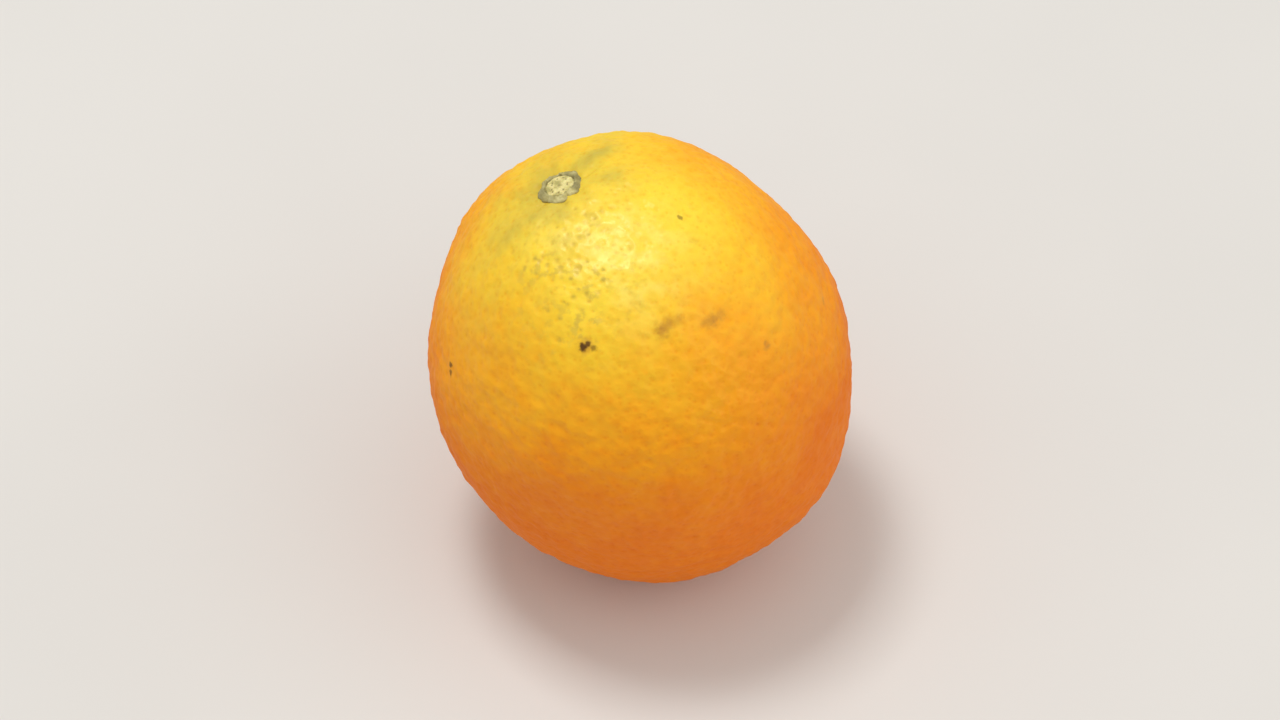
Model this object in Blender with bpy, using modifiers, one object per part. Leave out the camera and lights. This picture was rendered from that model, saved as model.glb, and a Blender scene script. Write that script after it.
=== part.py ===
"""An orange with its stem button, at rest on the small flat spot on its underside.

Metres, +Z up. The origin is the centre of the flat spot, so the fruit stands on Z = 0.
The stem end leans away from straight up, the way the fruit settles on its side of the
blossom end. Inside the fruit's own axes, local +Z runs from its middle to its stem.
"""

import math

import bpy

# Fruit: a turned spheroid, longer along the stem than it is wide.
FRUIT_DIAMETER = 0.075
FRUIT_LENGTH = 0.086
STEM_LEAN = math.radians(20.1)
STEM_HEADING = math.radians(162.1)
REST_SAG = 0.0012

# Stem button: the dried calyx, a low ring around the scar where the stalk broke off.
BUTTON_DIAMETER = 0.0084
BUTTON_EDGE_HEIGHT = 0.0012
CALYX_RING_RISE = 0.0004
STALK_SCAR_DIAMETER = 0.0050

# Stem basin: the shallow dish in the skin, with the pocket that the button sits in.
BASIN_SLOPE_WIDTH = 0.0040
BASIN_DEPTH = 0.0010
POCKET_DEPTH = 0.0009
SEAT_CLEARANCE = 0.0003

# Blossom end: the small dimple that the flower's style left.
BLOSSOM_DIMPLE_DIAMETER = 0.0044
BLOSSOM_DIMPLE_DEPTH = 0.0003

# Fineness of the turned shapes.
FRUIT_SEGMENTS = 48
FRUIT_RINGS = 36
RING_CROWDING = 0.6
BUTTON_SEGMENTS = 32
CALYX_RING_POINTS = 8
MERGE_DISTANCE = 0.00001

RIND_COLOUR = (0.87, 0.36, 0.02)
RIND_ROUGHNESS = 0.42
BUTTON_COLOUR = (0.46, 0.42, 0.17)
BUTTON_ROUGHNESS = 0.80

# What follows from the sizes above.
EQUATOR_RADIUS = FRUIT_DIAMETER / 2
HALF_LENGTH = FRUIT_LENGTH / 2
BUTTON_RADIUS = BUTTON_DIAMETER / 2
STALK_SCAR_RADIUS = STALK_SCAR_DIAMETER / 2
POCKET_RADIUS = BUTTON_RADIUS + SEAT_CLEARANCE
BASIN_RADIUS = POCKET_RADIUS + BASIN_SLOPE_WIDTH
BLOSSOM_DIMPLE_RADIUS = BLOSSOM_DIMPLE_DIAMETER / 2


def dish_depth(radius, dish_radius, full_depth):
    """Depth of a round dish at this radius, falling on a cosine curve from its rim to its middle."""
    if radius >= dish_radius:
        return 0.0
    return full_depth * (1 + math.cos(math.pi * radius / dish_radius)) / 2


def skin_point(angle):
    """Radius and height of the skin at an angle from the stem pole, with its dish at either pole."""
    radius = EQUATOR_RADIUS * math.sin(angle)
    height = HALF_LENGTH * math.cos(angle)
    height -= dish_depth(radius, BASIN_RADIUS, BASIN_DEPTH) if angle < math.pi / 2 else 0.0
    height += dish_depth(radius, BLOSSOM_DIMPLE_RADIUS, BLOSSOM_DIMPLE_DEPTH) if angle > math.pi / 2 else 0.0
    return radius, height


def fruit_profile():
    """Half the fruit's outline, from the middle of the pocket's floor out over the skin to the blossom end."""
    first_angle = math.asin(POCKET_RADIUS / EQUATOR_RADIUS)
    points = [(0.0, pocket_floor()), (POCKET_RADIUS, pocket_floor())]
    for ring in range(FRUIT_RINGS):
        share = ring / FRUIT_RINGS
        share -= RING_CROWDING * math.sin(2 * math.pi * share) / (2 * math.pi)
        points.append(skin_point(first_angle + share * (math.pi - first_angle)))
    points.append((0.0, skin_point(math.pi)[1]))
    return points


def pocket_floor():
    """Height of the pocket's floor, measured down from the skin at the pocket's rim."""
    rim_height = skin_point(math.asin(POCKET_RADIUS / EQUATOR_RADIUS))[1]
    return rim_height - POCKET_DEPTH


def button_profile():
    """Half the button's outline: flat stalk scar, rounded calyx ring, upright edge and flat underside."""
    underside = pocket_floor() + SEAT_CLEARANCE
    scar_level = underside + BUTTON_EDGE_HEIGHT
    points = [(0.0, scar_level)]
    for step in range(CALYX_RING_POINTS + 1):
        share = step / CALYX_RING_POINTS
        radius = STALK_SCAR_RADIUS + share * (BUTTON_RADIUS - STALK_SCAR_RADIUS)
        points.append((radius, scar_level + CALYX_RING_RISE * math.sin(math.pi * share)))
    points.append((BUTTON_RADIUS, underside))
    points.append((0.0, underside))
    return points


def make_material(name, colour, roughness):
    """A plain non-metal finish for one sub-part."""
    material = bpy.data.materials.new(name)
    material.use_nodes = True
    shader = material.node_tree.nodes["Principled BSDF"]
    shader.inputs["Base Color"].default_value = (*colour, 1.0)
    shader.inputs["Roughness"].default_value = roughness
    shader.inputs["Metallic"].default_value = 0.0
    return material


def turned_piece(name, profile, segments, material, collection):
    """A solid of revolution about local Z: the profile lies in the XZ plane and a Screw turns it."""
    mesh = bpy.data.meshes.new(name)
    vertices = [(radius, 0.0, height) for radius, height in profile]
    edges = [(index, index + 1) for index in range(len(vertices) - 1)]
    mesh.from_pydata(vertices, edges, [])
    mesh.materials.append(material)
    piece = bpy.data.objects.new(name, mesh)
    collection.objects.link(piece)
    turn = piece.modifiers.new("turn", "SCREW")
    turn.steps = segments
    turn.render_steps = segments
    turn.use_merge_vertices = True
    turn.merge_threshold = MERGE_DISTANCE
    turn.use_smooth_shade = True
    return piece


def floor_cutter(collection):
    """A block whose top face is the plane Z = 0, which takes the flat spot off the fruit's underside."""
    side = 2 * max(FRUIT_DIAMETER, FRUIT_LENGTH)
    bpy.ops.mesh.primitive_cube_add(size=side, location=(0, 0, -side / 2))
    cutter = bpy.context.object
    cutter.name = "rest_spot_cutter"
    for owner in list(cutter.users_collection):
        owner.objects.unlink(cutter)
    collection.objects.link(cutter)
    cutter.hide_render = True
    cutter.display_type = "WIRE"
    return cutter


def fruit_axes(collection):
    """An empty at the fruit's middle, turned so that its +Z runs to the stem.

    A spheroid that leans by some angle touches a level floor at a point that is off to one side of
    its middle. The flat spot is cut round that point, and its centre is the origin.
    """
    level_part = EQUATOR_RADIUS * math.sin(STEM_LEAN)
    upright_part = HALF_LENGTH * math.cos(STEM_LEAN)
    full_height = math.hypot(level_part, upright_part)
    length_excess = HALF_LENGTH**2 - EQUATOR_RADIUS**2
    touch_offset = length_excess * math.sin(STEM_LEAN) * math.cos(STEM_LEAN) / full_height
    height = full_height - REST_SAG
    offset = touch_offset * height / full_height
    axes = bpy.data.objects.new("fruit_axes", None)
    collection.objects.link(axes)
    axes.location = (offset * math.cos(STEM_HEADING), offset * math.sin(STEM_HEADING), height)
    axes.rotation_euler = (0.0, STEM_LEAN, STEM_HEADING)
    return axes


for existing in list(bpy.data.objects):
    bpy.data.objects.remove(existing, do_unlink=True)

orange = bpy.data.collections.new("orange")
cutters = bpy.data.collections.new("cutters")
bpy.context.scene.collection.children.link(orange)
bpy.context.scene.collection.children.link(cutters)

rind = make_material("rind", RIND_COLOUR, RIND_ROUGHNESS)
dried_calyx = make_material("dried_calyx", BUTTON_COLOUR, BUTTON_ROUGHNESS)

axes = fruit_axes(orange)

fruit = turned_piece("fruit", fruit_profile(), FRUIT_SEGMENTS, rind, orange)
fruit.parent = axes
flat_spot = fruit.modifiers.new("flat_spot", "BOOLEAN")
flat_spot.operation = "DIFFERENCE"
flat_spot.solver = "EXACT"
flat_spot.object = floor_cutter(cutters)

stem_button = turned_piece("stem_button", button_profile(), BUTTON_SEGMENTS, dried_calyx, orange)
stem_button.parent = axes
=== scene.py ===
"""An orange at rest on a pale studio floor: the fruit in its peel, and the dried button at its stem."""

import math

import bpy
import numpy as np
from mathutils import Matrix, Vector


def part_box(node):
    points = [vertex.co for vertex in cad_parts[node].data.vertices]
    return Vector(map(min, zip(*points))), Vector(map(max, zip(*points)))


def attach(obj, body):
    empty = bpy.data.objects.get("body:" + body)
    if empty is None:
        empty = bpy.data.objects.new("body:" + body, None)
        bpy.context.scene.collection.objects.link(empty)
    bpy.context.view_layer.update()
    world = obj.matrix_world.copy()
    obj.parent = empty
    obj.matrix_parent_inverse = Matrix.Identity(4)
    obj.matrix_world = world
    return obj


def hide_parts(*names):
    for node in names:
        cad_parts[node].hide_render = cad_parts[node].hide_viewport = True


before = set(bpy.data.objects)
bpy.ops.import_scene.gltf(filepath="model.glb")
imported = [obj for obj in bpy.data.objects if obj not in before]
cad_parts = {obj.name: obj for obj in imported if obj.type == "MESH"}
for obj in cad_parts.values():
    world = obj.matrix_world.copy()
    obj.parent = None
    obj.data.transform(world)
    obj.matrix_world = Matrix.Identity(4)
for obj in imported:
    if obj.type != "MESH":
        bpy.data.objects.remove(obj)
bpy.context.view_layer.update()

# --------------------------------------------------------------------------- fruit
# The fruit grew as one piece, a little longer along its stem than across. Its waxy peel is dimpled
# by the oil glands under it, drawn into creases round the stem, and pressed flat where it rests.

BODY = "root"
ACROSS = 0.0375  # half the width
ALONG = 0.0430  # half the length along the stem
RINGS = 236
SPOKES = 416
AXIS_ROUNDS = 6


def stem_directions():
    """The fruit's middle, and its own three directions: front, side and stem.

    A leaning spheroid reaches above its middle by the root of ACROSS^2 + (ALONG^2 - ACROSS^2) times
    the squared upright share of its axis. The axis runs from the middle to the middle of the button.
    Each of the two needs the other, so they are worked out in turn, AXIS_ROUNDS times.
    """
    low, high = (np.array(corner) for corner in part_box("fruit"))
    button = np.mean([np.array(corner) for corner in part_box("stem_button")], axis=0)
    centre = (low + high) / 2
    for _ in range(AXIS_ROUNDS):
        stem = (button - centre) / np.linalg.norm(button - centre)
        centre[2] = high[2] - math.sqrt(ACROSS**2 + (ALONG**2 - ACROSS**2) * stem[2] ** 2)
    front = np.array([0.0, -1.0, 0.0])
    front -= stem * (front @ stem)
    front /= np.linalg.norm(front)
    return centre, np.stack([front, np.cross(stem, front), stem])


MIDDLE, DIRECTIONS = stem_directions()


def placed(points):
    """Points in the fruit's own directions, taken to where the fruit stands."""
    return points @ DIRECTIONS + MIDDLE


def smooth_step(value, start, end):
    """0 before start and 1 after end, with a level start and finish."""
    share = np.clip((value - start) / (end - start), 0.0, 1.0)
    return share * share * (3.0 - 2.0 * share)


def facing(angle, turn):
    """Unit vector at an angle from the stem and a turn round it from the front."""
    angle, turn = np.broadcast_arrays(angle, turn)
    return np.stack([np.sin(angle) * np.cos(turn), np.sin(angle) * np.sin(turn), np.cos(angle)], axis=-1)


def swell_and_fade(points, wavelength, seed, waves=48):
    """Smooth noise with a spread of about one: cosine waves of nearly one length, in all directions."""
    draw = np.random.default_rng(seed)
    ways = draw.normal(size=(waves, 3))
    ways /= np.linalg.norm(ways, axis=1, keepdims=True)
    counts = 2 * math.pi / (wavelength * draw.uniform(0.75, 1.3, (waves, 1)))
    phases = draw.uniform(0.0, 2 * math.pi, waves)
    return np.cos(points @ (ways * counts).T + phases).sum(axis=-1) * math.sqrt(2 / waves)


# Where the fruit grew fuller or flatter: angle from the stem, turn, rise in metres, spread in degrees.
SWELLINGS = (
    (130, 64, 0.0010, 18),
    (141, 26, -0.0004, 18),
    (92, -66, 0.0006, 18),
    (54, -96, -0.0008, 18),
    (37, -125, 0.0005, 16),
    (38, 159, 0.0006, 16),
    (70, 118, -0.0009, 16),
    (87, 106, 0.0003, 16),
    (100, 170, 0.0005, 26),
    (85, -150, -0.0005, 24),
)

BASIN_RADIUS = 0.0085
BASIN_DEPTH = 0.0010
CREASE_TURNS = (12, 55, 118, 158, 205, 262, 318)
CREASE_LENGTHS = (0.0125, 0.0100, 0.0140, 0.0095, 0.0130, 0.0110, 0.0120)
CREASE_DEPTH = 0.00042
CREASE_WIDTH = 0.0009
CREASE_START = (0.002, 0.0045)
CREASE_FADE = 0.005
CREASE_WANDER = 0.10
CREASE_WAVE = 0.0016

BLOSSOM_RADIUS = 0.0022
BLOSSOM_DEPTH = 0.0003
BLOSSOM_SCAR = (0.0011, 0.0017)
NUB_RADIUS = 0.0006
NUB_HEIGHT = 0.00022

GLAND_SPACING = 0.0017
GLAND_DEPTH = 0.00018
GLAND_RADIUS = 0.00048
GLAND_DEPTHS = (0.35, 1.0)
GLAND_WIDTHS = (0.75, 1.25)
GLAND_SCATTER = 0.20
GLAND_REACH = 3
HEXAGON_SHARE = 0.866
PORE_RARITY = 1.8

# Pebbles, ripples and lumps of the peel between its glands: size in metres, seed, and height in metres.
UNEVENNESS = (
    (0.0027, 3, 0.000066),
    (0.0065, 4, 0.00007),
    (0.019, 5, 0.00010),
)

# Low ribs that run out from the stem: how many, how far they wander, how far from the stem's line they
# rise and how far from it they die away, and their height.
RIBS = 7
RIB_WANDER = 1.1
RIB_START = (0.003, 0.009)
RIB_END = (0.010, 0.029)
RIB_HEIGHT = 0.00011

REST_SOFTNESS = 0.0002


def growth(angle, turn):
    """Slow rise and fall of the peel: the swellings, each a bell curve of the angle to its middle."""
    way = facing(angle, turn)
    rise = np.zeros(way.shape[:-1])
    for from_stem, round_stem, height, spread in SWELLINGS:
        towards = facing(math.radians(from_stem), math.radians(round_stem))
        apart = np.arccos(np.clip(way @ towards, -1.0, 1.0))
        rise += height * np.exp(-((apart / math.radians(spread)) ** 2))
    return rise


def stem_end(points):
    """The basin round the stem, a cosine dish, and the creases that run out of it and die away."""
    radius = np.hypot(points[..., 0], points[..., 1])
    upper = smooth_step(points[..., 2], 0.0, ALONG / 2)
    share = np.clip(radius / BASIN_RADIUS, 0.0, 1.0)
    rise = -BASIN_DEPTH * (1 + np.cos(math.pi * share)) / 2
    for turn, length in zip(CREASE_TURNS, CREASE_LENGTHS):
        wander = CREASE_WANDER * np.sin(radius / CREASE_WAVE + turn)
        outward = np.array([math.cos(math.radians(turn)), math.sin(math.radians(turn))])
        along = points[..., :2] @ outward
        beside = points[..., 0] * -outward[1] + points[..., 1] * outward[0] + wander * radius
        groove = np.exp(-((beside / CREASE_WIDTH) ** 2)) * (along > 0)
        groove = CREASE_DEPTH * groove * smooth_step(along, *CREASE_START)
        rise -= groove * (1 - smooth_step(along, CREASE_FADE, length))
    return rise * upper


def blossom_end(points):
    """The dimple opposite the stem, a cosine dish with a low nub in its middle."""
    radius = np.hypot(points[..., 0], points[..., 1])
    lower = smooth_step(-points[..., 2], 0.0, ALONG / 2)
    share = np.clip(radius / BLOSSOM_RADIUS, 0.0, 1.0)
    dish = -BLOSSOM_DEPTH * (1 + np.cos(math.pi * share)) / 2
    nub = NUB_HEIGHT * np.exp(-((radius / NUB_RADIUS) ** 2))
    return (dish + nub) * lower


def oil_glands(angle, turn):
    """How deep each point lies in its nearest gland, from 0 to 1, and how dark that gland's pore is.

    The glands stand on a sunflower spiral from stem to blossom end, each nudged off its place, and are
    bell-shaped. They are in order of angle, so a ring of the grid only measures its distance to the run
    of glands beside it. With six neighbours round it, a gland has HEXAGON_SHARE of its spacing squared
    to itself, which gives their number.
    """
    draw = np.random.default_rng(11)
    count = int(4 * math.pi * ACROSS * ALONG / (HEXAGON_SHARE * GLAND_SPACING**2))
    number = np.arange(count) + 0.5
    heights = 1 - 2 * number / count
    turns = number * math.pi * (3 - math.sqrt(5))
    glands = facing(np.arccos(heights), turns) * (ACROSS, ACROSS, ALONG)
    glands += draw.normal(scale=GLAND_SCATTER * GLAND_SPACING, size=glands.shape)
    depths = draw.uniform(*GLAND_DEPTHS, count)
    widths = GLAND_RADIUS * draw.uniform(*GLAND_WIDTHS, count)
    pores = draw.uniform(size=count) ** PORE_RARITY
    closeness = np.zeros((len(angle), len(turn)))
    darkness = np.zeros_like(closeness)
    reach = GLAND_REACH * GLAND_SPACING / ACROSS
    for row, ring_angle in enumerate(angle):
        span = (max(ring_angle - reach, 0.0), min(ring_angle + reach, math.pi))
        first, last = np.searchsorted(-heights, (-math.cos(span[0]), -math.cos(span[1])))
        near = glands[first:last]
        ring = facing(ring_angle, turn) * (ACROSS, ACROSS, ALONG)
        apart = np.linalg.norm(ring[:, None, :] - near[None, :, :], axis=-1)
        bells = np.exp(-((apart / widths[first:last]) ** 2))
        closeness[row] = (bells * depths[first:last]).max(axis=1)
        darkness[row] = (bells * pores[first:last]).max(axis=1)
    return closeness, darkness


def settled(points):
    """Points pressed onto the level they rest on: a smooth maximum of their height and zero."""
    pressed = points.copy()
    pressed[..., 2] = (points[..., 2] + np.sqrt(points[..., 2] ** 2 + REST_SOFTNESS**2)) / 2
    return pressed


def skin(angle, turn, relief=0.0):
    """The peel's surface: a spheroid moved along its normal by growth, stem and blossom ends and relief."""
    base = facing(angle, turn) * (ACROSS, ACROSS, ALONG)
    outward = facing(angle, turn) / (ACROSS, ACROSS, ALONG)
    outward /= np.linalg.norm(outward, axis=-1, keepdims=True)
    rise = growth(angle, turn) + stem_end(base) + blossom_end(base) + relief
    return base + outward * rise[..., None]


def round_mesh(name, points, top, bottom):
    """A closed skin over rows of points, each a ring, from the top pole's point to the bottom pole's."""
    rings, spokes = points.shape[:2]
    here = np.arange(rings * spokes).reshape(rings, spokes)
    beside = np.roll(here, -1, axis=1)
    quads = np.stack([here[:-1], here[1:], beside[1:], beside[:-1]], axis=-1).reshape(-1, 4)
    top_index, bottom_index = rings * spokes, rings * spokes + 1
    cap = np.stack([np.full(spokes, top_index), here[0], beside[0]], axis=-1)
    base = np.stack([np.full(spokes, bottom_index), beside[-1], here[-1]], axis=-1)
    mesh = bpy.data.meshes.new(name)
    vertices = np.concatenate([points.reshape(-1, 3), [top], [bottom]])
    mesh.from_pydata(vertices.tolist(), [], quads.tolist() + cap.tolist() + base.tolist())
    mesh.shade_smooth()
    piece = bpy.data.objects.new(name, mesh)
    bpy.context.scene.collection.objects.link(piece)
    return piece


def paint(piece, name, values):
    """Stores one number a point, for the piece's material to read."""
    field = piece.data.attributes.new(name, "FLOAT", "POINT")
    field.data.foreach_set("value", np.asarray(values, np.float32).ravel())


ring_angles = np.linspace(0.0, math.pi, RINGS + 2)[1:-1]
spoke_turns = np.linspace(0.0, 2 * math.pi, SPOKES, endpoint=False)
angles, turns = np.meshgrid(ring_angles, spoke_turns, indexing="ij")
spheroid = facing(angles, turns) * (ACROSS, ACROSS, ALONG)

gland_depth, pore_dark = oil_glands(ring_angles, spoke_turns)
from_axis = np.hypot(spheroid[..., 0], spheroid[..., 1])
stem_half = spheroid[..., 2] > 0
ribs = np.cos(RIBS * turns + RIB_WANDER * swell_and_fade(spheroid, 0.022, 25))
ribs *= smooth_step(from_axis, *RIB_START) * (1 - smooth_step(from_axis, *RIB_END)) * stem_half
relief = -GLAND_DEPTH * gland_depth
for wavelength, seed, height in UNEVENNESS:
    relief = relief + height * swell_and_fade(spheroid, wavelength, seed)
relief += RIB_HEIGHT * ribs

shell = settled(placed(skin(angles, turns, relief)))
pole_up = placed(skin(0.0, 0.0))
pole_down = settled(placed(skin(math.pi, 0.0)))
peel = round_mesh("peel", shell, pole_up, pole_down)


def degrees_from(angle, turn):
    """How far every point of the peel lies from one direction, in degrees round the fruit."""
    towards = facing(math.radians(angle), math.radians(turn))
    return np.degrees(np.arccos(np.clip(facing(angles, turns) @ towards, -1.0, 1.0)))


def patch(angle, turn, spread):
    """A soft round patch on the peel: a bell curve of the degrees to its middle, where it is 1."""
    return np.exp(-((degrees_from(angle, turn) / spread) ** 2))


# How yellow the peel is, from 0 at the deep orange blossom half to 1 at the lemon crown by the stem,
# with brighter patches beside the stem and behind it, and one that is more orange. The deep orange of
# the blossom half is partly its own colour and partly painted shade and orange bounce light.
crown = degrees_from(19, 36)
crown = crown + 3.5 * swell_and_fade(spheroid, 0.030, 21) + 1.2 * swell_and_fade(spheroid, 0.010, 22)
yellow = np.clip((90 - crown) / 75, 0.0, 1.0) + 0.13 * patch(36, 66, 14)
yellow += 0.42 * patch(40, 172, 20) - 0.17 * patch(54, 46, 11)
yellow -= 0.05 * ribs

# How green it still is: a halo round the stem, patches on three sides of it, and a tinge on the ribs.
stem_apart = np.degrees(angles) + 2.0 * swell_and_fade(spheroid, 0.012, 23)
green = 1 - smooth_step(stem_apart, 5, 32)
green += 0.40 * patch(32, -50, 19) + 0.30 * patch(34, 170, 18)
green += 0.18 * patch(17, 105, 9) + 0.13 * ribs

# Where a painted highlight makes the peel pale, where it is freckled and its pores show most, and the
# brown scar that the blossom left.
pale = patch(31, 35, 15) + 0.4 * patch(18, -7, 8)
freckled = patch(30, 3, 16) * (1 + 0.45 * swell_and_fade(spheroid, 0.008, 24))
pore_dark *= np.clip(0.30 + 0.80 * freckled, 0.0, 1.0)
blossom = (1 - smooth_step(from_axis, *BLOSSOM_SCAR)) * ~stem_half

for field_name, field, at_top, at_bottom in (
    ("yellow", yellow, 1.0, 0.0),
    ("green", green, 1.0, 0.0),
    ("gland", gland_depth, 0.0, 0.0),
    ("pore", pore_dark, 0.0, 0.0),
    ("freckled", np.clip(freckled, 0.0, 1.0), 0.0, 0.0),
    ("pale", pale, 0.0, 0.0),
    ("blossom", blossom, 0.0, 1.0),
):
    paint(peel, field_name, np.concatenate([field.ravel(), [at_top, at_bottom]]))


class Nodes:
    """The nodes of one material, added and joined in order."""

    def __init__(self, name):
        self.material = bpy.data.materials.new(name)
        self.material.use_nodes = True
        self.tree = self.material.node_tree
        self.shader = self.tree.nodes["Principled BSDF"]
        self.place = self.tree.nodes.new("ShaderNodeTexCoord").outputs["Object"]

    def join(self, source, socket):
        """Feeds a socket from an output, or sets it to a plain value."""
        if isinstance(source, bpy.types.NodeSocket):
            self.tree.links.new(source, socket)
        else:
            socket.default_value = source

    def finish(self, **settings):
        """Joins or sets the shader's own sockets, named with underscores for spaces."""
        for name, source in settings.items():
            self.join(source, self.shader.inputs[name.replace("_", " ")])
        return self.material

    def field(self, name):
        """A number stored on the mesh's points."""
        node = self.tree.nodes.new("ShaderNodeAttribute")
        node.attribute_name = name
        return node.outputs["Fac"]

    def math(self, operation, *values):
        """One Math node."""
        node = self.tree.nodes.new("ShaderNodeMath")
        node.operation = operation
        for value, socket in zip(values, node.inputs):
            self.join(value, socket)
        return node.outputs["Value"]

    def noise(self, wavelength, detail=2.0):
        """Soft noise over the piece's own place, about one wavelength from light to light."""
        node = self.tree.nodes.new("ShaderNodeTexNoise")
        node.inputs["Scale"].default_value = 1 / wavelength
        node.inputs["Detail"].default_value = detail
        self.join(self.place, node.inputs["Vector"])
        return node.outputs["Fac"]

    def cells(self, spacing):
        """How far each place is from the nearest of many scattered points, smoothed where cells meet."""
        node = self.tree.nodes.new("ShaderNodeTexVoronoi")
        node.feature = "SMOOTH_F1"
        node.inputs["Scale"].default_value = 1 / spacing
        node.inputs["Smoothness"].default_value = 0.35
        self.join(self.place, node.inputs["Vector"])
        return node.outputs["Distance"]

    def span(self, value, low, high, out_low=0.0, out_high=1.0):
        """A value's rise from low to high, eased at both ends, as a rise from out_low to out_high."""
        node = self.tree.nodes.new("ShaderNodeMapRange")
        node.interpolation_type = "SMOOTHSTEP"
        ends = {"From Min": low, "From Max": high, "To Min": out_low, "To Max": out_high}
        for name, number in ends.items():
            node.inputs[name].default_value = number
        self.join(value, node.inputs["Value"])
        return node.outputs["Result"]

    def ramp(self, value, stops):
        """A colour read off a row of (position, colour) stops."""
        node = self.tree.nodes.new("ShaderNodeValToRGB")
        points = node.color_ramp.elements
        while len(points) < len(stops):
            points.new(0.5)
        for point, (position, colour) in zip(points, stops):
            point.position = position
            point.color = (*colour, 1.0)
        self.join(value, node.inputs["Fac"])
        return node.outputs["Color"]

    def mix(self, share, first, second, blend="MIX"):
        """One colour laid over another by a share."""
        node = self.tree.nodes.new("ShaderNodeMix")
        node.data_type = "RGBA"
        node.blend_type = blend
        sockets = {socket.identifier: socket for socket in node.inputs}
        self.join(share, sockets["Factor_Float"])
        for source, name in ((first, "A_Color"), (second, "B_Color")):
            if not isinstance(source, bpy.types.NodeSocket):
                source = (*source, 1.0)
            self.join(source, sockets[name])
        return next(socket for socket in node.outputs if socket.identifier == "Result_Color")

    def frayed_place(self, wavelength, strength):
        """The piece's place pushed about by noise, so that a round mark gets a ragged edge."""
        node = self.tree.nodes.new("ShaderNodeTexNoise")
        node.inputs["Scale"].default_value = 1 / wavelength
        self.join(self.place, node.inputs["Vector"])
        push = self.tree.nodes.new("ShaderNodeVectorMath")
        push.operation = "MULTIPLY_ADD"
        self.join(node.outputs["Color"], push.inputs[0])
        push.inputs[1].default_value = (strength,) * 3
        centred = self.tree.nodes.new("ShaderNodeVectorMath")
        centred.operation = "ADD"
        self.join(self.place, centred.inputs[0])
        centred.inputs[1].default_value = (-strength / 2,) * 3
        self.join(centred.outputs["Vector"], push.inputs[2])
        return push.outputs["Vector"]

    def near(self, place, point, radius, firm):
        """1 at a point and out to a firm share of the radius, then falling to 0 at the radius."""
        node = self.tree.nodes.new("ShaderNodeVectorMath")
        node.operation = "DISTANCE"
        self.join(place, node.inputs[0])
        node.inputs[1].default_value = point
        return self.span(node.outputs["Value"], firm * radius, radius, 1.0, 0.0)

    def glancing(self):
        """0 where the surface is seen square on, rising to 1 where it is seen edge on."""
        node = self.tree.nodes.new("ShaderNodeLayerWeight")
        node.inputs["Blend"].default_value = 0.5
        return node.outputs["Facing"]

    def bump(self, height, strength, distance):
        """A normal for relief too fine for the mesh."""
        node = self.tree.nodes.new("ShaderNodeBump")
        node.inputs["Strength"].default_value = strength
        node.inputs["Distance"].default_value = distance
        self.join(height, node.inputs["Height"])
        return node.outputs["Normal"]


# Marks on the peel: angle from the stem and turn round it in degrees, radius in metres, and strength.
BROWN_PITS = (
    (47.4, 1.8, 0.0010, 1.0),
    (47.0, 3.8, 0.0008, 0.9),
    (48.4, 5.4, 0.0008, 0.6),
    (56.6, -56.0, 0.0008, 0.8),
    (59.0, -56.1, 0.0009, 0.7),
    (34.4, 69.1, 0.0007, 0.6),
    (96.0, 150.0, 0.0009, 0.8),
    (72.0, -128.0, 0.0007, 0.7),
)
TAN_SMUDGES = (
    (47.3, 3.0, 0.0021, 0.75),
    (51.2, 28.9, 0.0020, 0.90),
    (50.7, 32.3, 0.0018, 0.70),
    (51.2, 36.0, 0.0016, 0.50),
    (55.9, 42.6, 0.0016, 0.55),
    (56.5, 45.2, 0.0020, 0.80),
    (56.9, 48.4, 0.0016, 0.50),
    (40.2, 62.2, 0.0014, 0.30),
    (70.6, 54.1, 0.0012, 0.80),
    (80.7, 83.8, 0.0011, 0.60),
    (88.0, -160.0, 0.0024, 0.60),
    (90.5, -156.0, 0.0020, 0.50),
)

# The peel's colours, and where along the ripeness from orange to lemon each of the first six comes.
# Their deep orange end is partly painted shade and orange bounce light.
RIPENESS_AND_SHADE = (
    (0.00, (0.840, 0.193, 0.002)),
    (0.20, (0.900, 0.268, 0.003)),
    (0.40, (0.935, 0.360, 0.006)),
    (0.57, (0.940, 0.440, 0.013)),
    (0.75, (0.940, 0.550, 0.022)),
    (1.00, (0.945, 0.665, 0.036)),
)
KHAKI = (0.670, 0.530, 0.058)
OLIVE_BASIN_SHADE = (0.50, 0.385, 0.058)
PAINTED_HIGHLIGHT = (0.97, 0.86, 0.23)
GLAND_TINT = (0.93, 0.74, 0.40)
DIMPLE_TINT = (0.94, 0.80, 0.50)
PORE_KHAKI = (0.50, 0.37, 0.05)
FRECKLE_KHAKI = (0.60, 0.435, 0.065)
SMUDGE_TAN = (0.50, 0.22, 0.025)
PIT_BROWN = (0.11, 0.045, 0.008)
BLOSSOM_BROWN = (0.20, 0.10, 0.03)

DIMPLE_SPACING = 0.0013
DIMPLE_HEIGHT = 0.00015
SMUDGE_FRAY = 0.0016
PIT_FRAY = 0.0010
FRAY_SIZE = 0.0009


def ripeness_and_shade_colour(nodes):
    """Deep orange to lemon by the yellow field, the deep orange partly painted shade, pushed either way by
    broad clouds and a finer mottle.
    """
    ripeness = nodes.field("yellow")
    for wavelength, detail, strength in ((0.011, 3.0, 0.24), (0.0024, 2.0, 0.22)):
        cloud = nodes.math("SUBTRACT", nodes.noise(wavelength, detail), 0.5)
        ripeness = nodes.math("MULTIPLY_ADD", cloud, strength, ripeness)
    return nodes.ramp(ripeness, RIPENESS_AND_SHADE)


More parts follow.
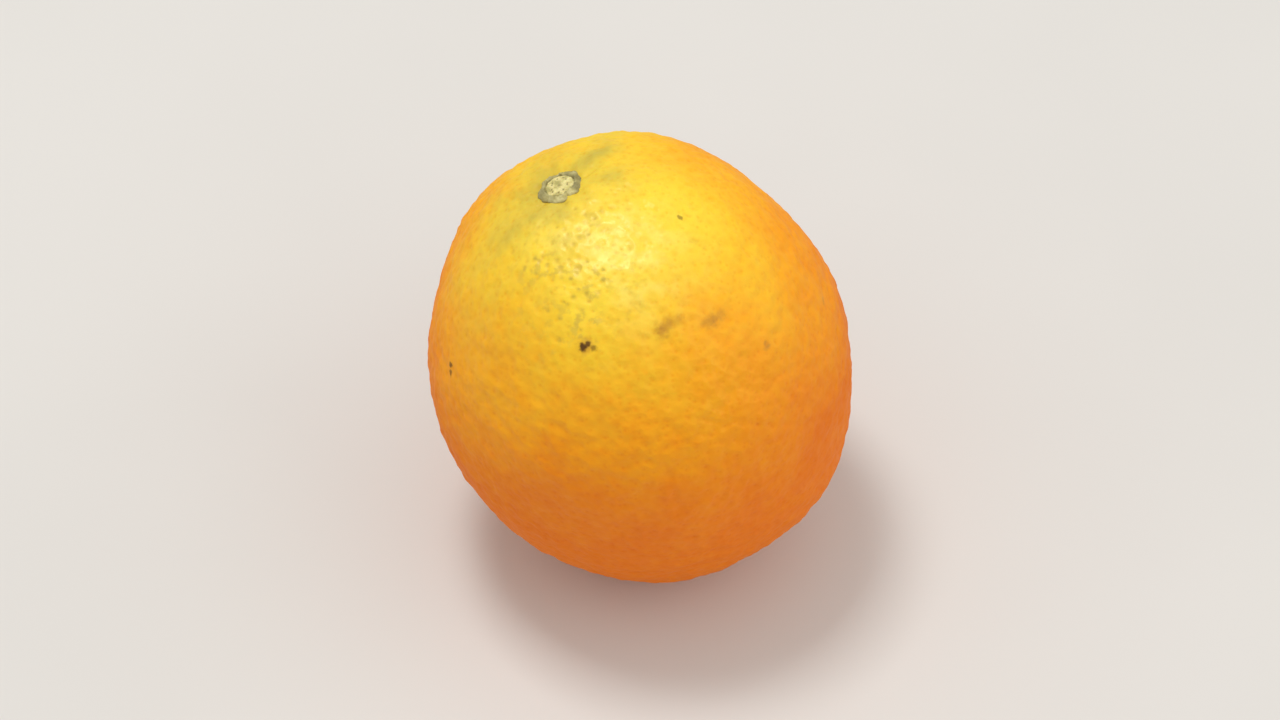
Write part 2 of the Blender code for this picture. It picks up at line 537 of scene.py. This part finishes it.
def stem_tints_shade_and_highlight(nodes, colour):
    """Cloudy khaki where the peel is still green, painted olive shade close round the button, and pale
    patches of painted highlight.
    """
    green = nodes.field("green")
    cloud = nodes.noise(0.006, 3.0)
    tint = nodes.math("MULTIPLY", green, nodes.span(cloud, 0.32, 0.68, 0.28, 0.92))
    colour = nodes.mix(tint, colour, KHAKI)
    # Painted shade: darker olive in the stem basin, close round the button.
    shade = nodes.span(green, 0.80, 1.15, 0.0, 0.50)
    shade = nodes.math("MULTIPLY", shade, nodes.span(cloud, 0.32, 0.68, 0.5, 1.0))
    colour = nodes.mix(shade, colour, OLIVE_BASIN_SHADE)
    # Painted highlight: pale yellow patches laid on the peel where it catches the light.
    highlight_patches = nodes.span(nodes.noise(0.0042, 2.0), 0.36, 0.64, 0.20, 0.60)
    return nodes.mix(nodes.math("MULTIPLY", highlight_patches, nodes.field("pale")), colour, PAINTED_HIGHLIGHT)


def gland_tints(nodes, colour, gland, dimples):
    """Deeper colour in glands and dimples, khaki in open pores, and khaki freckles in their patch."""
    colour = nodes.mix(nodes.math("MULTIPLY", gland, 0.60), colour, GLAND_TINT, "MULTIPLY")
    colour = nodes.mix(nodes.span(dimples, 0.06, 0.36, 0.55, 0.0), colour, DIMPLE_TINT, "MULTIPLY")
    pore = nodes.span(nodes.field("pore"), 0.04, 0.75, 0.0, 0.85)
    colour = nodes.mix(nodes.math("MULTIPLY", pore, nodes.field("yellow")), colour, PORE_KHAKI)
    freckle = nodes.span(nodes.noise(0.0019, 3.0), 0.49, 0.66, 0.0, 0.64)
    freckle = nodes.math("MULTIPLY", freckle, nodes.field("freckled"))
    return nodes.mix(freckle, colour, FRECKLE_KHAKI)


def laid_marks(nodes, colour, marks, mark_colour, fray, firm):
    """Each mark laid over the peel at its own place, with an edge frayed by noise."""
    ragged = nodes.frayed_place(FRAY_SIZE, fray)
    for angle, turn, radius, strength in marks:
        spot = placed(skin(math.radians(angle), math.radians(turn)))
        share = nodes.math("MULTIPLY", nodes.near(ragged, spot, radius, firm), strength)
        colour = nodes.mix(share, colour, mark_colour)
    return colour


def peel_material():
    """Waxy peel: coloured by its ripeness and painted shade, with a painted highlight, glands, freckles
    and marks, duller at a glancing look.

    The fine dimples are bump: the distance to scattered points, a cone-shaped dent round each of them.
    """
    nodes = Nodes("peel")
    gland = nodes.field("gland")
    dimples = nodes.cells(DIMPLE_SPACING)
    colour = stem_tints_shade_and_highlight(nodes, ripeness_and_shade_colour(nodes))
    colour = gland_tints(nodes, colour, gland, dimples)
    colour = laid_marks(nodes, colour, TAN_SMUDGES, SMUDGE_TAN, SMUDGE_FRAY, firm=0.0)
    colour = laid_marks(nodes, colour, BROWN_PITS, PIT_BROWN, PIT_FRAY, firm=0.4)
    colour = nodes.mix(nodes.field("blossom"), colour, BLOSSOM_BROWN)
    roughness = nodes.span(nodes.noise(0.0030, 2.0), 0.3, 0.7, 0.28, 0.39)
    roughness = nodes.math("MULTIPLY_ADD", gland, 0.12, roughness)
    roughness = nodes.math("ADD", roughness, nodes.span(nodes.glancing(), 0.15, 0.70, 0.0, 0.34))
    relief = nodes.math("MULTIPLY_ADD", nodes.noise(0.0005, 2.0), 0.15, dimples)
    nodes.shader.inputs["Subsurface Weight"].default_value = 0.07
    nodes.shader.inputs["Subsurface Radius"].default_value = (1.0, 0.40, 0.12)
    nodes.shader.inputs["Subsurface Scale"].default_value = 0.0015
    nodes.shader.inputs["Specular IOR Level"].default_value = 0.32
    nodes.shader.inputs["Specular Tint"].default_value = (1.0, 0.86, 0.60, 1.0)
    normal = nodes.bump(relief, 1.0, DIMPLE_HEIGHT)
    return nodes.finish(Base_Color=colour, Roughness=roughness, Normal=normal)


peel.data.materials.append(peel_material())
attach(peel, BODY)
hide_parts("fruit")

# --------------------------------------------------------------------------- calyx ring
# What is left of the flower's green cup: a dry ring with five blunt lobes, grey-olive and leathery,
# that still clings to the peel at the bottom of the stem basin.

CALYX_OUTER = 0.0037
CALYX_INNER = 0.0026
CALYX_CREST = 0.00078
CALYX_EDGE = 0.00010
CALYX_ROOT = -0.00050
CREST_PLACE = 0.20
CREST_SPREAD = 0.46
SECTION_BLUNTNESS = 0.35
LOBES = 5
LOBE_REACH = 0.00045
LOBE_BLUNTNESS = 0.8
LOBE_UNEVENNESS = 0.35
CLEFT_DEPTH = 0.00026
CLEFT_WIDTH = 0.16
TORN_OUTER = 0.00010
TORN_INNER = 0.00009
WRINKLE_HEIGHT = 0.000055
WITHERED_TURN = math.radians(108)
CALYX_TURNS = 280
CALYX_SECTION = 56


def skin_height(radius):
    """Height of the peel along the stem's line at a distance from it: the spheroid less the basin."""
    share = np.clip(radius / BASIN_RADIUS, 0.0, 1.0)
    basin = BASIN_DEPTH * (1 + np.cos(math.pi * share)) / 2
    return ALONG * np.sqrt(1 - (radius / ACROSS) ** 2) - basin


def upright(radius, turn, height):
    """Points at a distance from the stem's line, a turn round it and a height along it."""
    radius, turn, height = np.broadcast_arrays(radius, turn, height)
    return np.stack([radius * np.cos(turn), radius * np.sin(turn), height], axis=-1)


def ring_mesh(name, points):
    """A closed tube bent into a ring: rows of points go round the ring and columns round its section."""
    rows, columns = points.shape[:2]
    here = np.arange(rows * columns).reshape(rows, columns)
    ahead = np.roll(here, -1, axis=0)
    quads = np.stack([here, np.roll(here, -1, axis=1), np.roll(ahead, -1, axis=1), ahead], axis=-1)
    mesh = bpy.data.meshes.new(name)
    mesh.from_pydata(points.reshape(-1, 3).tolist(), [], quads.reshape(-1, 4).tolist())
    mesh.shade_smooth()
    piece = bpy.data.objects.new(name, mesh)
    bpy.context.scene.collection.objects.link(piece)
    return piece


def calyx_points():
    """The ring's points, how far out each lies from 0 to 1, and how withered it is.

    Round the ring, the lobes reach out by a power of the size of a cosine. Across it, the section is a
    blunt superellipse whose top runs over a crest, a bell curve, and down to a thin outer edge.
    """
    turn = np.linspace(0.0, 2 * math.pi, CALYX_TURNS, endpoint=False)[:, None]
    section = np.linspace(0.0, 2 * math.pi, CALYX_SECTION, endpoint=False)[None, :]
    rim = upright(CALYX_OUTER, turn, 0.0)
    lobe_wave = np.cos(LOBES * turn / 2 + LOBE_UNEVENNESS * np.sin(turn + 1.0))
    lobe = np.abs(lobe_wave) ** LOBE_BLUNTNESS
    outer = CALYX_OUTER + LOBE_REACH * lobe + TORN_OUTER * swell_and_fade(rim, 0.0013, 31)
    inner = CALYX_INNER + TORN_INNER * swell_and_fade(rim, 0.0016, 32)
    out = (1 - np.cos(section)) / 2
    radius = inner + (outer - inner) * out
    crest = CALYX_CREST * (1 + 0.14 * swell_and_fade(rim, 0.0024, 33))
    cleft = CLEFT_DEPTH * np.exp(-((lobe_wave / CLEFT_WIDTH) ** 2)) * out
    slope = np.exp(-(((out - CREST_PLACE) / CREST_SPREAD) ** 2))
    top = CALYX_EDGE + (crest - CALYX_EDGE) * slope - cleft
    wrinkles = WRINKLE_HEIGHT * swell_and_fade(upright(radius, turn, 0.0), 0.0007, 34)
    middle = (top + CALYX_ROOT) / 2
    half = (top - CALYX_ROOT) / 2
    blunt = np.sign(np.sin(section)) * np.abs(np.sin(section)) ** SECTION_BLUNTNESS
    height = skin_height(radius) + middle + half * blunt + wrinkles * (blunt > 0)
    withered = 0.5 + 0.5 * np.cos(2 * (turn - WITHERED_TURN)) + 0.3 * swell_and_fade(rim, 0.0022, 35)
    return upright(radius, turn, height), out, np.clip(withered, 0.0, 1.0)


CALYX_OLIVES = (
    (0.0, (0.36, 0.31, 0.105)),
    (0.5, (0.52, 0.46, 0.18)),
    (1.0, (0.66, 0.60, 0.28)),
)
TORN_BROWN = (0.25, 0.19, 0.055)
INNER_EDGE_SHADE = (0.15, 0.12, 0.045)
WITHERED_OLIVE = (0.19, 0.165, 0.065)
FIBRE_GREY = (0.42, 0.38, 0.20)
FIBRE_HEIGHT = 0.00006


def calyx_material():
    """Dry leafy tissue: grey-olive and fibrous, brown at its torn outer edge, dark at its two withered
    sides, with painted shade at its inner edge, where it meets the scar.
    """
    nodes = Nodes("dried_calyx")
    out = nodes.field("out")
    colour = nodes.ramp(nodes.span(nodes.noise(0.0011, 3.0), 0.3, 0.7), CALYX_OLIVES)
    colour = nodes.mix(nodes.span(out, 0.60, 1.0, 0.0, 0.45), colour, TORN_BROWN)
    # Painted shade: dark at the ring's inner edge, where it meets the scar.
    colour = nodes.mix(nodes.span(out, 0.0, 0.14, 0.55, 0.0), colour, INNER_EDGE_SHADE)
    colour = nodes.mix(nodes.math("MULTIPLY", nodes.field("withered"), 0.80), colour, WITHERED_OLIVE)
    fibres = nodes.noise(0.00018, 3.0)
    colour = nodes.mix(nodes.span(fibres, 0.35, 0.65, 0.0, 0.35), colour, FIBRE_GREY)
    roughness = nodes.span(fibres, 0.3, 0.7, 0.62, 0.85)
    nodes.shader.inputs["Specular IOR Level"].default_value = 0.3
    normal = nodes.bump(fibres, 0.6, FIBRE_HEIGHT)
    return nodes.finish(Base_Color=colour, Roughness=roughness, Normal=normal)


ring_points, ring_out, ring_withered = calyx_points()
calyx = ring_mesh("calyx_ring", placed(ring_points))
paint(calyx, "out", np.broadcast_to(ring_out, ring_points.shape[:2]))
paint(calyx, "withered", np.broadcast_to(ring_withered, ring_points.shape[:2]))
calyx.data.materials.append(calyx_material())
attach(calyx, BODY)
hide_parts("stem_button")

# --------------------------------------------------------------------------- stalk scar
# The pale corky face that the stalk broke away from, inside the calyx ring. The ends of the vessels
# that fed the fruit show as a ring of small dark dots, with the stalk's pith in the middle.

SCAR_RADIUS = 0.00285
SCAR_LIFT = 0.00060
SCAR_CROWN = 0.00012
SCAR_ROOT = -0.00035
SCAR_TAPER = 0.15
SCAR_WAVER = 0.03
SCAR_EDGE = 0.86
SCAR_EDGE_DROP = 0.00016
VESSELS = 11
VESSEL_CIRCLE = 0.00168
VESSEL_RADIUS = 0.00017
VESSEL_DEPTH = 0.00008
COLLAR_RADIUS = 1.7 * VESSEL_RADIUS
COLLAR_HEIGHT = 0.000045
PITH_RADIUS = 0.00042
PITH_DEPTH = 0.00007
PITH_DARKNESS = 0.7
CORK_GRAIN = ((0.00042, 42, 0.000022), (0.0013, 43, 0.00004))  # size, seed and height
SCAR_RINGS = 64
SCAR_SIDE_RINGS = 8
SCAR_TURNS = 200


def scar_points():
    """The scar's points and how dark each is: a low crown of rings out to the edge, then sides going down.

    Vessel ends and pith are bell-shaped pits, and each vessel end has a collar round it, a bell curve of
    the distance to a circle. Sines of the vessels' numbers set them a little off an even circle.
    """
    turn = np.linspace(0.0, 2 * math.pi, SCAR_TURNS, endpoint=False)[None, :]
    share = np.linspace(0.0, 1.0, SCAR_RINGS + 1)[1:, None]
    edge = SCAR_RADIUS * (1 + SCAR_WAVER * swell_and_fade(upright(SCAR_RADIUS, turn, 0.0), 0.002, 41))
    radius = edge * share
    flat = upright(radius, turn, 0.0)
    number = np.arange(VESSELS)
    vessel_turns = number * 2 * math.pi / VESSELS + 0.16 * np.sin(3.7 * number)
    vessel_radii = VESSEL_CIRCLE * (1 + 0.12 * np.cos(5.1 * number))
    vessel = np.zeros(radius.shape)
    collar = np.zeros(radius.shape)
    for middle in upright(vessel_radii, vessel_turns, 0.0):
        apart = np.linalg.norm(flat - middle, axis=-1)
        vessel = np.maximum(vessel, np.exp(-((apart / VESSEL_RADIUS) ** 2)))
        collar = np.maximum(collar, np.exp(-(((apart - COLLAR_RADIUS) / VESSEL_RADIUS) ** 2)))
    pith = np.exp(-((radius / PITH_RADIUS) ** 2))
    height = skin_height(0.0) + SCAR_LIFT + SCAR_CROWN * (1 - share**2)
    height = height + COLLAR_HEIGHT * collar - VESSEL_DEPTH * vessel - PITH_DEPTH * pith
    for wavelength, seed, rise in CORK_GRAIN:
        height = height + rise * swell_and_fade(flat, wavelength, seed)
    height = height - SCAR_EDGE_DROP * smooth_step(share, SCAR_EDGE, 1.0)
    top = upright(radius, turn, height)
    drop = np.linspace(0.0, 1.0, SCAR_SIDE_RINGS + 1)[1:, None]
    side_height = height[-1:] + (skin_height(0.0) + SCAR_ROOT - height[-1:]) * drop
    side = upright(edge * (1 - SCAR_TAPER * drop), turn, side_height)
    dark = np.concatenate([np.maximum(vessel, PITH_DARKNESS * pith), np.zeros(side.shape[:2])])
    return np.concatenate([top, side]), dark


CORK_CREAMS = (
    (0.0, (0.42, 0.37, 0.12)),
    (0.45, (0.66, 0.57, 0.20)),
    (1.0, (0.86, 0.76, 0.33)),
)
CORK_GREY = (0.50, 0.45, 0.24)
VESSEL_BROWN = (0.13, 0.095, 0.03)
SCAR_EDGE_BROWN = (0.17, 0.12, 0.04)
GRAIN_HEIGHT = 0.00005


def scar_material():
    """Pale cork: cream with olive patches, dark at the vessel ends and brown where it meets the ring."""
    nodes = Nodes("stalk_scar")
    colour = nodes.ramp(nodes.span(nodes.noise(0.0015, 2.0), 0.32, 0.68), CORK_CREAMS)
    grain = nodes.noise(0.00022, 3.0)
    colour = nodes.mix(nodes.span(grain, 0.35, 0.7, 0.0, 0.4), colour, CORK_GREY)
    colour = nodes.mix(nodes.math("MULTIPLY", nodes.field("dark"), 0.85), colour, VESSEL_BROWN)
    colour = nodes.mix(nodes.span(nodes.field("out"), 0.84, 1.0, 0.0, 0.8), colour, SCAR_EDGE_BROWN)
    nodes.shader.inputs["Specular IOR Level"].default_value = 0.25
    nodes.shader.inputs["Subsurface Weight"].default_value = 0.05
    nodes.shader.inputs["Subsurface Scale"].default_value = 0.0005
    roughness = nodes.span(grain, 0.3, 0.7, 0.70, 0.92)
    normal = nodes.bump(grain, 0.5, GRAIN_HEIGHT)
    return nodes.finish(Base_Color=colour, Roughness=roughness, Normal=normal)


disc_points, disc_dark = scar_points()
scar_top = upright(0.0, 0.0, skin_height(0.0) + SCAR_LIFT + SCAR_CROWN - PITH_DEPTH)
scar_bottom = upright(0.0, 0.0, skin_height(0.0) + SCAR_ROOT)
scar = round_mesh("stalk_scar", placed(disc_points), placed(scar_top), placed(scar_bottom))
paint(scar, "dark", np.concatenate([disc_dark.ravel(), [PITH_DARKNESS, 0.0]]))
scar_out = np.hypot(disc_points[..., 0], disc_points[..., 1]) / SCAR_RADIUS
paint(scar, "out", np.concatenate([scar_out.ravel(), [0.0, 0.0]]))
scar.data.materials.append(scar_material())
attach(scar, BODY)

# --------------------------------------------------------------------------- studio
# A wide pale floor, a soft key lamp nearly overhead, a larger and weaker one low on the right, and
# pale light all round. The camera looks down on the fruit at 48 degrees from the front, from 63 cm.

FLOOR_HALF = 3.0
FLOOR_TONES = ((0.69, 0.68, 0.665), (0.715, 0.705, 0.69))
LAMP_DISTANCE = 0.95
LAMP_COLOUR = (1.0, 0.985, 0.96)
LAMPS = (  # name, way to it from the fruit, side in metres and power in watts
    ("key_lamp", (-0.20, 0.155, 0.965), 0.26, 3.9),
    ("side_lamp", (0.80, -0.30, 0.50), 0.90, 1.9),
)
SURROUND_COLOUR = (1.0, 0.975, 0.925, 1.0)
SURROUND_STRENGTH = 0.66
CAMERA_ELEVATION = math.radians(48.0)
CAMERA_DISTANCE = 0.628
CAMERA_LENS = 98.0


def floor():
    """One pale square, faintly mottled like painted board."""
    mesh = bpy.data.meshes.new("studio_floor")
    corners = [(x * FLOOR_HALF, y * FLOOR_HALF, 0.0) for x, y in ((-1, -1), (1, -1), (1, 1), (-1, 1))]
    mesh.from_pydata(corners, [], [(0, 1, 2, 3)])
    nodes = Nodes("studio_floor")
    tone = nodes.mix(nodes.span(nodes.noise(0.15, 3.0), 0.3, 0.7), *FLOOR_TONES)
    mesh.materials.append(nodes.finish(Base_Color=tone, Roughness=0.85))
    piece = bpy.data.objects.new("studio_floor", mesh)
    bpy.context.scene.collection.objects.link(piece)


def lamp(name, way, side, power):
    """A square soft box that looks at the fruit's middle."""
    light = bpy.data.lights.new(name, "AREA")
    light.shape = "SQUARE"
    light.size = side
    light.energy = power
    light.color = LAMP_COLOUR
    way = Vector(way).normalized()
    holder = bpy.data.objects.new(name, light)
    holder.location = Vector(MIDDLE) + way * LAMP_DISTANCE
    holder.rotation_euler = (-way).to_track_quat("-Z", "Y").to_euler()
    bpy.context.scene.collection.objects.link(holder)


def surroundings():
    """Even pale light from all round."""
    world = bpy.data.worlds.new("studio")
    world.use_nodes = True
    background = world.node_tree.nodes["Background"]
    background.inputs["Color"].default_value = SURROUND_COLOUR
    background.inputs["Strength"].default_value = SURROUND_STRENGTH
    bpy.context.scene.world = world


def camera():
    """Straight in front of the fruit and above it, aimed at its middle."""
    eye = bpy.data.cameras.new("camera")
    eye.lens = CAMERA_LENS
    eye.clip_start = 0.01
    way = Vector((0.0, -math.cos(CAMERA_ELEVATION), math.sin(CAMERA_ELEVATION)))
    holder = bpy.data.objects.new("camera", eye)
    holder.location = Vector(MIDDLE) + way * CAMERA_DISTANCE
    holder.rotation_euler = (-way).to_track_quat("-Z", "Y").to_euler()
    bpy.context.scene.collection.objects.link(holder)
    bpy.context.scene.camera = holder


floor()
for lamp_name, lamp_way, lamp_side, lamp_power in LAMPS:
    lamp(lamp_name, lamp_way, lamp_side, lamp_power)
surroundings()
camera()
bpy.context.scene.view_settings.view_transform = "Standard"
